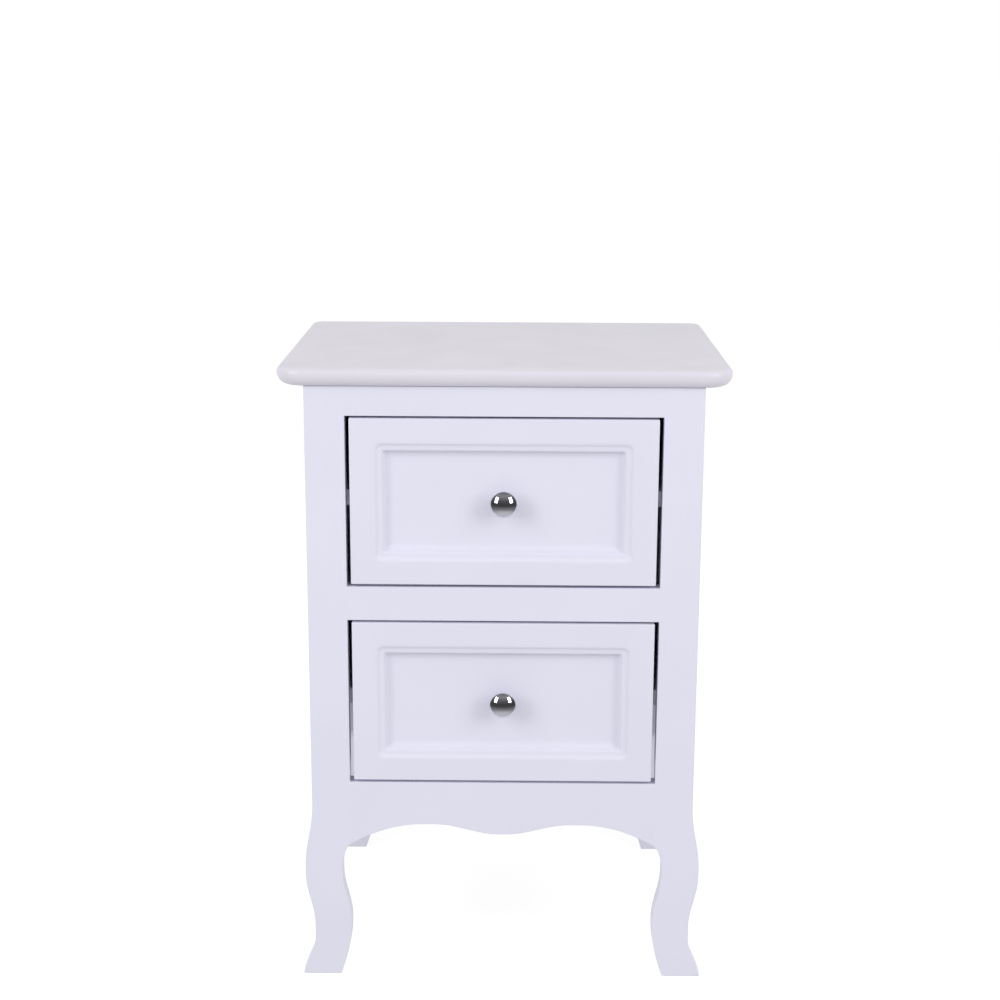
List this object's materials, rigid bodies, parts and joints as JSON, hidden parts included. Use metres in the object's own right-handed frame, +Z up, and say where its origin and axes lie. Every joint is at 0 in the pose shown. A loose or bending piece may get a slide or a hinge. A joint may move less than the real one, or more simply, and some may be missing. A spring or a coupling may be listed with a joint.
{
  "type": "nightstand",
  "caption": "White bedside cabinet with curved legs, a rounded top, and stacked drawers that slide out on wooden side runners, each with a sunken front and a round knob.",
  "frame": {"origin": "on the floor, under the centre of the overall box, knobs included", "axes": "+Z up, the drawers face -Y, +X to the right seen from the front with the viewer looking along +Y"},
  "size_m": [0.396, 0.316, 0.5715],
  "materials": {
    "white_paint": "satin white paint on fibreboard and solid wood",
    "white_board": "thin hardboard with a white matt coat",
    "drawer_white": "fibreboard with a thin white lacquer",
    "raw_pine": "unfinished softwood",
    "chrome_knob": "polished chrome plate",
    "zinc_screw": "zinc plated"
  },
  "bodies": {
    "cabinet": {"top_panel": "white_paint", "front_leg_left": "white_paint", "front_leg_right": "white_paint", "rear_leg_left": "white_paint", "rear_leg_right": "white_paint", "top_front_rail": "white_paint", "middle_front_rail": "white_paint", "front_apron": "white_paint", "rear_top_rail": "white_paint", "rear_apron": "white_paint", "side_panel_left": "white_paint", "side_panel_right": "white_paint", "back_panel": "white_board", "upper_runner_left": "white_paint", "upper_runner_right": "white_paint", "lower_runner_left": "white_paint", "lower_runner_right": "white_paint", "runner_screws": "zinc_screw", "corner_block_front_left": "raw_pine", "corner_block_front_right": "raw_pine", "corner_block_rear_left": "raw_pine", "corner_block_rear_right": "raw_pine", "top_screws": "zinc_screw", "rail_dowels": "raw_pine", "panel_dowels": "raw_pine", "top_dowels": "raw_pine", "back_panel_screws": "zinc_screw"},
    "upper_drawer": {"upper_drawer_front": "white_paint", "upper_drawer_side_left": "drawer_white", "upper_drawer_side_right": "drawer_white", "upper_drawer_back": "drawer_white", "upper_drawer_bottom": "white_board", "upper_knob": "chrome_knob", "upper_knob_screw": "zinc_screw", "upper_drawer_dowels": "raw_pine", "upper_drawer_screws": "zinc_screw", "upper_bottom_screws": "zinc_screw"},
    "lower_drawer": {"lower_drawer_front": "white_paint", "lower_drawer_side_left": "drawer_white", "lower_drawer_side_right": "drawer_white", "lower_drawer_back": "drawer_white", "lower_drawer_bottom": "white_board", "lower_knob": "chrome_knob", "lower_knob_screw": "zinc_screw", "lower_drawer_dowels": "raw_pine", "lower_drawer_screws": "zinc_screw", "lower_bottom_screws": "zinc_screw"}
  },
  "joints": [
    {"name": "upper_drawer_slide", "type": "slide", "parent": "cabinet", "child": "upper_drawer", "axis": [0, -1, 0], "range_m": [0, 0.19]},
    {"name": "lower_drawer_slide", "type": "slide", "parent": "cabinet", "child": "lower_drawer", "axis": [0, -1, 0], "range_m": [0, 0.19]}
  ]
}
